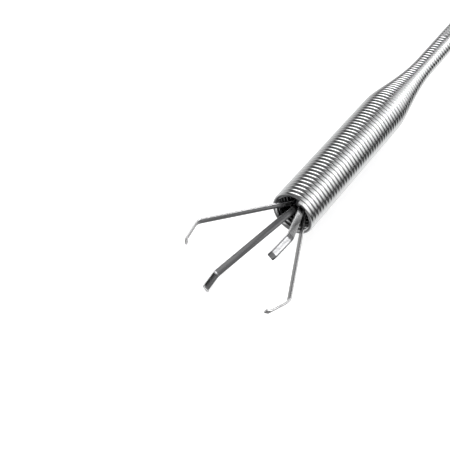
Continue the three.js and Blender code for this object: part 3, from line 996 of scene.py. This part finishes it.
# ---- Plunger line ----
@dataclass
class PlungerLine:
    """What runs inside the tool, from the claws' ferrule to the rod behind the thumb button."""

    frame: dict
    fit_gap: float = 0.3
    edge: float = 0.25
    ferrule_edge: float = 0.12
    crimp_shares: tuple[float, ...] = (0.16, 0.3, 0.66, 0.8)  # where its grooves start, of its length
    crimp_width: float = 1.4
    crimp_slope: float = 0.45
    crimp_depth: float = 0.28
    crimp_rim: float = 0.15
    wire_chamfer: float = 0.2
    wire_lengths: int = 60  # stations along the pull wire
    groove_depth: float = 0.5
    groove_edge: float = 0.06
    clip_width: float = 1.1
    clip_edge: float = 0.07
    clip_opening: float = 38.0  # half the clip's open angle, in degrees
    clip_faces: int = 120
    lug_half: float = 12.0  # half the angle of each inner lug
    lug_fade: float = 6.0  # angle over which a lug's flank falls to the ring
    lug_power: float = 0.7
    spring_wire: float = 1.2
    spring_turns: float = 12.0
    spring_end_turns: float = 1.25  # closed turns at each end
    spring_play: float = 1.02  # pitch of the closed turns, of the wire's thickness
    spring_faces: tuple[int, int] = (64, 14)  # along a turn, and round the wire

    def ferrule(self, dresser: Dresser) -> None:
        """Keeps the ferrule's own solid, with softened edges.

        Args:
            dresser: gives it its finish.
        """
        node = self.frame["nodes"]["claw_ferrule"]
        turned_grain(node)
        node.data.shade_smooth()
        node.data.set_sharp_from_angle(angle=SHARP_CORNER)
        soften(node, self.ferrule_edge)
        dresser.paint(node, Slot.DARK_STEEL)
        log.info("claw_ferrule keeps its solid")

    def crimp(self) -> Piece:
        """Makes the sleeve that joins the pull wire to the rod, with two rolled grooves at each end.

        Returns:
            The sleeve.
        """
        seat, rod = Seat.of("wire_crimp"), Seat.of("plunger_rod")
        wire = Seat.of("pull_wire").radius + self.fit_gap
        bore = rod.radius + self.fit_gap
        step = rod.end + self.fit_gap
        radii, rims = (seat.radius, seat.radius - self.crimp_depth), (self.crimp_rim, self.crimp_rim)
        corners = [(seat.start, seat.radius, self.edge)]
        for part in self.crimp_shares:
            place = seat.start + part * (seat.end - seat.start)
            corners += rolled(place, self.crimp_width, self.crimp_slope, radii, rims)
        corners += [
            (seat.end, seat.radius, self.edge), (seat.end, wire, 0.1), (step, wire, 0), (step, bore, 0),
            (seat.start, bore, 0.1),
        ]
        return turned("wire_crimp_sleeve", corners, sides=64)

    def rod(self) -> Piece:
        """Makes the plunger rod, with chamfered ends and the clip's groove.

        Returns:
            The rod.
        """
        seat, clip = Seat.of("plunger_rod"), Seat.of("rod_clip")
        start, end = clip.start - self.fit_gap, clip.end + self.fit_gap
        floor, rim = seat.radius - self.groove_depth, self.groove_edge
        corners = [
            (seat.start, CORE, 0), (seat.start, seat.radius, self.edge), (start, seat.radius, rim),
            (start, floor, 0.1), (end, floor, 0.1), (end, seat.radius, rim),
            (seat.end, seat.radius, self.edge), (seat.end, CORE, 0),
        ]
        return turned("plunger_rod_turned", corners, bore=False, sides=72)

    def wire(self) -> Piece:
        """Makes the pull wire, in even lengths so that its lines stay fine.

        Returns:
            The wire.
        """
        seat = Seat.of("pull_wire")
        chamfer = self.wire_chamfer
        stations = np.linspace(seat.start + chamfer, seat.end - chamfer, self.wire_lengths)
        narrow = seat.radius - chamfer
        corners = [(seat.start, narrow, 0), *((x, seat.radius, 0) for x in stations), (seat.end, narrow, 0)]
        piece = turned("pull_wire_drawn", corners, bore=False, sides=24)
        piece.data.attributes.remove(piece.data.attributes[GRAIN])
        x, y, z = points_of(piece).T
        write_attribute(piece, GRAIN, np.stack([x, 0 * x, y + z], axis=-1))
        return piece

    def clip(self) -> Piece:
        """Makes the clip in the rod's groove: an open ring with three inner lugs.

        Returns:
            The clip.
        """
        seat = Seat.of("rod_clip")
        bore = Seat.of("plunger_rod").radius - self.groove_depth + self.fit_gap
        degrees = np.linspace(self.clip_opening, 360 - self.clip_opening, self.clip_faces + 1)
        end = self.clip_opening + self.lug_half
        lug = np.zeros_like(degrees)
        for middle in (end, 180.0, 360 - end):
            off = share(np.abs(degrees - middle), self.lug_half, self.lug_half + self.lug_fade)
            lug = np.maximum(lug, 1 - off)
        ring = seat.radius - self.clip_width
        inner = ring - (ring - bore) * lug**self.lug_power
        angle = np.radians(degrees)
        radius = np.concatenate([np.full_like(angle, seat.radius), inner[::-1]])
        angle = np.concatenate([angle, angle[::-1]])
        y, z = radius * np.sin(angle), radius * np.cos(angle)
        rings = [np.stack([0 * y - place, y, z], axis=-1) for place in (seat.start, seat.end)]
        piece = skin("rod_clip_ring", np.array(rings))
        turned_grain(piece)
        soften(piece, self.clip_edge)
        return piece

    def collar(self) -> Piece:
        """The collar that the return spring pushes on."""
        bore = Seat.of("plunger_rod").radius + self.fit_gap
        return turned("spring_collar_turned", tube("spring_collar", bore, self.edge))

    def spring(self) -> Piece:
        """Makes the return spring, a round wire with closed turns at both ends.

        Returns:
            The spring.
        """
        seat = Seat.of("return_spring")
        steps, sides = self.spring_faces
        turn = np.linspace(0, self.spring_turns, int(self.spring_turns * steps) + 1)
        room = seat.end - seat.start - self.spring_wire
        closed = self.spring_end_turns * self.spring_wire * self.spring_play
        stations = [0, self.spring_end_turns, self.spring_turns - self.spring_end_turns, self.spring_turns]
        rise = np.interp(turn, stations, [0, closed, room - closed, room])
        window = steps // 2 + 1
        padded = np.pad(rise, steps // 4, mode="reflect", reflect_type="odd")
        depth = seat.start + self.spring_wire / 2 + np.convolve(padded, np.ones(window) / window, "valid")
        middle = np.full_like(turn, seat.radius - self.spring_wire / 2)
        return coil("return_spring_coil", -depth, middle, turn * TURN, self.spring_wire / 2, sides)[0]

    def build(self, dresser: Dresser) -> None:
        """Makes the pieces of the plunger line.

        Args:
            dresser: gives the pieces their finish.
        """
        self.ferrule(dresser)
        plunger = Body.PLUNGER.value
        for piece, slot, node in (
            (self.wire(), Slot.STEEL, "pull_wire"),
            (self.crimp(), Slot.DARK_STEEL, "wire_crimp"),
            (self.rod(), Slot.STEEL, "plunger_rod"),
            (self.clip(), Slot.DARK_STEEL, "rod_clip"),
            (self.collar(), Slot.STEEL, "spring_collar"),
        ):
            dresser.dress(piece, slot, plunger, node)
        spring = self.spring()
        dresser.paint(spring, Slot.STEEL)
        seat = Seat.of("return_spring")
        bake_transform(spring)
        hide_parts("return_spring")
        log.info("return_spring_coil stretches between the handle and the plunger")


# ---- Thumb button and handle ----
@dataclass
class ThumbButton:
    """The plated button that the thumb presses, and its grub screw."""

    head: float = 4.5
    neck_radius: float = 4.0
    neck_edge: float = 0.3
    floor: float = 3.2  # metal between the thumb face and the rod's hole
    bore: float = 2.3
    bore_edge: float = 0.15
    edge: float = 1.1
    fillet: float = 0.6
    hole_bottom: float = 1.0
    hole_sink: float = 0.15

    def build(self, dresser: Dresser) -> None:
        """Turns the button, drills it and sets its screw.

        Args:
            dresser: gives the pieces their finish.
        """
        seat = Seat.of("thumb_button")
        corners = [
            (seat.start, CORE, 0), (seat.start, seat.radius, self.edge), (self.head, seat.radius, self.edge),
            (self.head, self.neck_radius, self.fillet), (seat.end, self.neck_radius, self.neck_edge),
            (seat.end, self.bore, self.bore_edge), (self.floor, self.bore, 0), (self.floor, CORE, 0),
        ]
        button = turned("thumb_button_turned", corners, bore=False)
        screw = grub_screw("button_screw")
        drill(button, ScrewSeat.of("button_screw"), self.hole_bottom, self.neck_radius, self.hole_sink)
        dresser.dress(button, Slot.CHROME, Body.PLUNGER.value, "thumb_button")
        dresser.dress(screw, Slot.DARK_STEEL, Body.PLUNGER.value, "button_screw")


@dataclass
class Handle:
    """The barrel with its finger flange, rear bush, bumper and front socket."""

    rod_bore: float = 2.3
    wire_bore: float = 1.05
    sheath_bore: float = 3.05
    plug_radius: float = 5.2
    plug_edge: float = 0.5
    barrel_bore: float = 5.5
    edge: float = 0.3
    bumper_edge: float = 0.5
    bush_head: float = 2.2
    flange_height: float = 19.8
    flange_waist: float = 17.0
    flange_foot: float = 3.4  # flat on each lobe's edge
    flange_edge: float = 0.55
    shoulder: tuple[float, float] = (97.2, 100.2)  # distances of the front socket's shoulder
    socket_end_radius: float = 4.0
    sheath_seat: float = 16.0
    hole_depth: float = 0.5  # how far the screw's hole reaches into the sheath's bore
    hole_lip: float = 0.25  # how far its rim stands over the screw
    hole_sink: float = 0.1
    roll_places: tuple[float, float] = (6.5, 7.5)  # middles of the rolled grooves, from the barrel's ends
    roll_depth: float = 0.24  # depth of the grooves rolled into the barrel over its plugs
    roll_width: float = 1.6
    roll_slope: float = 0.5
    roll_rims: tuple[float, float] = (0.5, 0.4)
    finger_points: int = 40  # points on half of the flange's outline

    def bush(self) -> Piece:
        """Turns the bush that guides the rod and holds the flange.

        Returns:
            The bush.
        """
        seat = Seat.of("rear_bush")
        head = seat.start + self.bush_head
        corners = [
            (seat.start, self.rod_bore, 0.25), (seat.start, seat.radius, 0.6), (head, seat.radius, 0.2),
            (head, self.plug_radius, 0.1), (seat.end, self.plug_radius, self.plug_edge),
            (seat.end, self.rod_bore, 0.15),
        ]
        return turned("rear_bush_turned", corners)

    def barrel(self) -> Piece:
        """Makes the handle's tube, rolled in over the bush and the socket to hold them.

        Returns:
            The barrel.
        """
        seat = Seat.of("barrel")
        radii = (seat.radius, seat.radius - self.roll_depth)
        corners = [(seat.start, seat.radius, self.edge)]
        for middle in (seat.start + self.roll_places[0], seat.end - self.roll_places[1]):
            start = middle - self.roll_width / 2
            corners += rolled(start, self.roll_width, self.roll_slope, radii, self.roll_rims)
        corners += [
            (seat.end, seat.radius, self.edge), (seat.end, self.barrel_bore, 0.1),
            (seat.start, self.barrel_bore, 0.1),
        ]
        return turned("barrel_tube", corners, sides=128)

    def socket(self) -> Piece:
        """Turns the socket that holds the sheath's end, and drills it for its grub screw.

        Returns:
            The socket.
        """
        seat = Seat.of("front_socket")
        start, end = self.shoulder
        bottom = seat.end - self.sheath_seat
        corners = [
            (seat.start, self.wire_bore, 0.1), (seat.start, self.plug_radius, self.plug_edge),
            (start, self.plug_radius, 0.1), (start, seat.radius, 0.2), (end, seat.radius, 1.2),
            (seat.end, self.socket_end_radius, 0.35), (seat.end, self.sheath_bore, 0.15),
            (bottom, self.sheath_bore, 0), (bottom, self.wire_bore, 0),
        ]
        socket = turned("front_socket_turned", corners)
        screw = ScrewSeat.of("socket_screw")
        drill(socket, screw, self.sheath_bore - self.hole_depth, screw.top + self.hole_lip, self.hole_sink)
        return socket

    def outline(self, reach: float, inset: float) -> np.ndarray:
        """Draws the finger plate's outline: two lobes with flat feet, and a waist between them.

        Args:
            reach: distance of each lobe's middle from the axis.
            inset: how far the outline is drawn in.

        Returns:
            Points along Y and Z, shaped (point, 2).
        """
        half = self.flange_height / 2
        waist_end = reach - self.flange_foot
        depth = half - self.flange_waist / 2
        arc = np.linspace(-math.pi / 2, math.pi / 2, self.finger_points)
        lobe = np.stack([reach + (half - inset) * np.cos(arc), (half - inset) * np.sin(arc)], axis=-1)
        along = np.linspace(waist_end, -waist_end, self.finger_points)
        wave = math.pi * along / waist_end
        slope = depth * math.pi / waist_end * np.sin(wave) / 2
        length = np.hypot(1, slope)
        height = half - depth * (1 + np.cos(wave)) / 2
        waist = np.stack([along + inset * slope / length, height - inset / length], axis=-1)
        upper = np.vstack([lobe, waist])
        return np.vstack([upper, -upper])

    def flange(self) -> Piece:
        """Makes the finger plate, with rounded edges.

        Returns:
            The plate.
        """
        seat = Seat.of("finger_flange")
        half = self.flange_height / 2
        reach = seat.radius - half
        turn = np.arctan2(*self.outline(reach, 0.0).T[::-1])
        rounds = rounded(
            [
                (seat.start, self.barrel_bore, 0.2), (seat.start, half, self.flange_edge),
                (seat.end, half, self.flange_edge), (seat.end, self.barrel_bore, 0.2),
            ],
            closed=True,
        )
        rings = []
        for distance, radius in rounds:
            if radius > (self.barrel_bore + half) / 2:
                ring = self.outline(reach, half - radius)
            else:
                ring = radius * np.stack([np.cos(turn), np.sin(turn)], axis=-1)
            rings.append(np.insert(ring, 0, -distance, axis=1))
        plate = skin("finger_flange_plate", np.array(rings), wrap=True)
        write_attribute(plate, GRAIN, points_of(plate)[:, [1, 0, 2]])
        even_shading(plate)
        return plate

    def build(self, dresser: Dresser) -> None:
        """Makes the handle's pieces.

        Args:
            dresser: gives the pieces their finish.
        """
        for piece, slot, node in (
            (turned("bumper_ring", tube("bumper", self.rod_bore, self.bumper_edge)), Slot.RUBBER, "bumper"),
            (self.bush(), Slot.CHROME, "rear_bush"),
            (self.flange(), Slot.CHROME, "finger_flange"),
            (self.barrel(), Slot.CHROME, "barrel"),
            (self.socket(), Slot.CHROME, "front_socket"),
            (grub_screw("socket_screw"), Slot.DARK_STEEL, "socket_screw"),
        ):
            dresser.dress(piece, slot, Body.HANDLE.value, node)


# ---- Studio ----
def aim(item: Piece, place: Place, way: Place | Vector) -> None:
    """Sets a lamp or a camera in its place.

    Args:
        item: the lamp or camera.
        place: where it stands.
        way: the way that it faces.
    """
    item.location = place
    item.rotation_mode = "QUATERNION"
    item.rotation_quaternion = Vector(way).to_track_quat("-Z", "Y")


@dataclass(frozen=True)
class Lamp:
    """A soft box that faces the tool. It lights dull surfaces; metal mirrors the surroundings."""

    name: str
    place: Place
    size: tuple[float, float]  # its sides in metres
    watts: float
    target: Place = (-0.4, 0.0, 0.0)

    def hang(self) -> None:
        """Hangs the lamp in the studio."""
        light = bpy.data.lights.new(self.name, "AREA")
        light.shape = "RECTANGLE"
        light.size, light.size_y = self.size
        light.energy = self.watts
        lamp = put(self.name, light)
        aim(lamp, self.place, Vector(self.target) - Vector(self.place))
        lamp.visible_camera = False
        lamp.visible_glossy = False


@dataclass
class Studio:
    """A pale floor, soft lamps, and surroundings whose dark gaps draw the lines in bright metal."""

    floor_height: float
    floor_radius: float = 14.0
    floor_sides: int = 96
    middle: float = -0.3  # of the tool, along X
    fade: tuple[float, float] = (0.45, 2.5)  # metres from the middle over which the floor turns white
    paper: float = 0.86  # colour of the floor
    paper_lift: float = 0.36  # light of its own that brings it up to the white surroundings
    fill: float = 0.55  # level of the surroundings for dull surfaces
    camera_place: Place = (-0.71065, -0.07089, 0.14569)
    camera_way: Place = (0.5879, 0.3952, -0.7059)
    lens: float = 74.4
    lamps: tuple[Lamp, ...] = (
        Lamp("top_box", (-0.2, 0.25, 1.1), (1.6, 1.2), 14.0),
        Lamp("side_box", (-0.5, -1.1, 0.8), (1.4, 1.0), 8.0),
    )
    # level of the surroundings by degrees round the tool's axis, from up towards +Y: on the
    # thumb's side, and on the claws' side
    thumb_levels: Levels = (
        (-180.0, 1.0), (-97.0, 0.05), (-91.0, 0.12), (-83.0, 0.85), (-73.0, 1.12), (-60.0, 1.15),
        (-38.0, 1.1), (-24.0, 0.8), (-14.0, 0.42), (-5.0, 0.24), (1.0, 0.4), (8.0, 1.7), (14.0, 2.6),
        (48.0, 2.6), (56.0, 0.3), (60.0, 0.06), (66.0, 0.12), (76.0, 0.42), (92.0, 0.7), (180.0, 0.7),
    )
    claw_levels: Levels = (
        (-180.0, 1.0), (-97.0, 0.05), (-91.0, 0.1), (-83.0, 0.6), (-73.0, 1.0), (-60.0, 1.12),
        (-38.0, 1.1), (-24.0, 0.8), (-14.0, 0.4), (-5.0, 0.16), (8.0, 0.12), (20.0, 0.2), (28.0, 0.2),
        (34.0, 0.1), (46.0, 0.05), (58.0, 0.1), (68.0, 0.35), (76.0, 0.48), (92.0, 0.7), (180.0, 0.7),
    )
    side_change: tuple[float, float] = (0.1, 0.65)  # cosines to the axis between the two sides
    card_start: float = 0.6  # cosine to the axis from which the thumb's side leans round
    card_lean: float = 60.0  # degrees it leans for each unit of that cosine
    card_angles: tuple[float, float] = (0.0, 15.0)  # degrees round the axis over which the lean starts
    box_way: Place = (0.27, -0.7, 0.66)  # towards the bright middle of the side box
    box_cosines: tuple[float, float] = (0.976, 0.988)  # where its brightness starts and is full
    box_level: float = 6.5
    # level of the floor in reflections by metres from the tool's axis, towards +Y
    floor_levels: Levels = (
        (-0.6, 0.9), (-0.4, 0.06), (-0.025, 0.06), (-0.016, 0.93), (0.006, 0.93), (0.02, 0.8), (0.3, 0.7),
        (0.6, 0.7),
    )

    @staticmethod
    def _levels(wires: Wiring, value: Input, levels: Levels) -> Socket:
        """Looks a value up in a list of levels.

        Args:
            wires: the node tree.
            value: the value to look up.
            levels: places and levels, in order.

        Returns:
            The level at that value.
        """
        low, high = levels[0][0], levels[-1][0]
        way = wires.add("MapRange", {0: value, 1: low, 2: high, 3: 0.0, 4: 1.0}).outputs[0]
        node = wires.add("ValToRGB", {0: way})
        elements = node.color_ramp.elements
        top = max(level for _, level in levels)
        for i, (place, level) in enumerate(levels):
            element = elements[0] if i == 0 else elements.new((place - low) / (high - low))
            element.position = (place - low) / (high - low)
            element.color = (level / top, level / top, level / top, 1.0)
        for element in list(elements)[len(levels):]:
            elements.remove(element)
        return wires.math("MULTIPLY", node.outputs[0], top)

    @staticmethod
    def _glow(wires: Wiring, kind: str, level: Input) -> Socket:
        """A white Background or Emission shader of some level."""
        return wires.add(kind, {0: (1, 1, 1, 1), 1: level}).outputs[0]

    @staticmethod
    def _choose(wires: Wiring, part: Input, first: Socket, second: Socket) -> Socket:
        """A shader between two shaders."""
        return wires.add("MixShader", {0: part, 1: first, 2: second}).outputs[0]

    @staticmethod
    def _rays(wires: Wiring) -> tuple[Socket, Socket]:
        """Tells the rays that see a surface plainly from those that are mirrored.

        Args:
            wires: the node tree.

        Returns:
            A mask of camera and transmission rays, and one of glossy rays.
        """
        path = wires.add("LightPath").outputs
        seen = wires.math("MAXIMUM", path["Is Camera Ray"], path["Is Transmission Ray"])
        return seen, path["Is Glossy Ray"]

    def world(self) -> None:
        """Paints the surroundings: white to the camera, even to diffuse surfaces, with gaps in metal."""
        world = bpy.data.worlds.new("studio")
        bpy.context.scene.world = world
        world.use_nodes = True
        wires = Wiring(world.node_tree)
        world.node_tree.nodes.clear()
        way = wires.add("TexCoord").outputs["Generated"]
        x, y, z = wires.add("SeparateXYZ", {0: way}).outputs
        angle = wires.math("DEGREES", wires.math("ARCTAN2", y, z))
        beyond = wires.math("MAXIMUM", wires.math("SUBTRACT", x, self.card_start), 0.0)
        lean = wires.math("MULTIPLY", beyond, wires.ramp(angle, *self.card_angles, 0.0, self.card_lean))
        behind = self._levels(wires, wires.math("SUBTRACT", angle, lean), self.thumb_levels)
        ahead = self._levels(wires, angle, self.claw_levels)
        side = wires.ramp(x, *self.side_change)
        around = wires.math("MULTIPLY_ADD", wires.math("SUBTRACT", behind, ahead), side, ahead)
        toward = wires.vector("DOT_PRODUCT", way, self.box_way)
        box = wires.ramp(toward, *self.box_cosines, 0.0, self.box_level)
        seen, glossy = self._rays(wires)
        mirrored = self._glow(wires, "Background", wires.math("ADD", around, box))
        lit = self._choose(wires, glossy, self._glow(wires, "Background", self.fill), mirrored)
        shown = self._choose(wires, seen, lit, self._glow(wires, "Background", 1.0))
        wires.add("OutputWorld", {0: shown})

    def floor(self) -> None:
        """Lays a pale floor that keeps the tool's shadow and turns into the white surroundings."""
        angle = np.linspace(0, TURN, self.floor_sides, endpoint=False)
        x, y = self.floor_radius * np.cos(angle) + self.middle, self.floor_radius * np.sin(angle)
        mesh = bpy.data.meshes.new("floor")
        rim = np.stack([x, y, 0 * x + self.floor_height], axis=-1)
        mesh.from_pydata(rim.tolist(), [], [list(range(self.floor_sides))])
        material = bpy.data.materials.new("pale_floor")
        material.use_nodes = True
        wires = Wiring(material.node_tree)
        material.node_tree.nodes.clear()
        place = wires.add("NewGeometry").outputs["Position"]
        across = wires.add("SeparateXYZ", {0: place}).outputs[1]
        mirrored = self._glow(wires, "Emission", self._levels(wires, across, self.floor_levels))
        away = wires.vector("DISTANCE", place, (self.middle, 0.0, self.floor_height))
        paper = wires.add("BsdfDiffuse", {0: (self.paper, self.paper, self.paper, 1)}).outputs[0]
        lift = self._glow(wires, "Emission", self.paper_lift)
        near = wires.add("AddShader", {0: paper, 1: lift}).outputs[0]
        white = self._glow(wires, "Emission", 1.0)
        to_camera = self._choose(wires, wires.ramp(away, *self.fade), near, white)
        seen, glossy = self._rays(wires)
        plain = self._choose(wires, seen, paper, to_camera)
        wires.add("OutputMaterial", {0: self._choose(wires, glossy, plain, mirrored)})
        mesh.materials.append(material)
        put("floor", mesh)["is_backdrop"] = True

    def camera(self) -> None:
        """Sets the camera in the photograph's place, above the claws' side and to the right."""
        data = bpy.data.cameras.new("camera")
        data.lens = self.lens
        data.sensor_width = 36.0
        data.clip_start = 0.01
        data.clip_end = 50.0
        camera = put("camera", data)
        aim(camera, self.camera_place, self.camera_way)
        bpy.context.scene.camera = camera

    def build(self) -> None:
        """Sets up the whole studio."""
        bpy.context.scene.view_settings.view_transform = "Standard"
        self.world()
        self.floor()
        for lamp in self.lamps:
            lamp.hang()
        self.camera()


# ---- The tool ----
def as_lists(box: tuple[Vector, Vector]) -> list[list[float]]:
    """A box as plain lists of numbers."""
    return [list(box[0]), list(box[1])]


def main() -> None:
    """Builds the tool and its studio."""
    logging.basicConfig(level=logging.INFO, format="%(name)s: %(message)s")
    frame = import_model()
    cad_box = as_lists(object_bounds())
    dresser = Dresser()
    for part in (Sheath(), Claws(), PlungerLine(frame), ThumbButton(), Handle()):
        part.build(dresser)
    visual_box = as_lists(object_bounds())
    Studio(floor_height=min(cad_box[0][2], visual_box[0][2])).build()


if __name__ == "__main__":
    main()
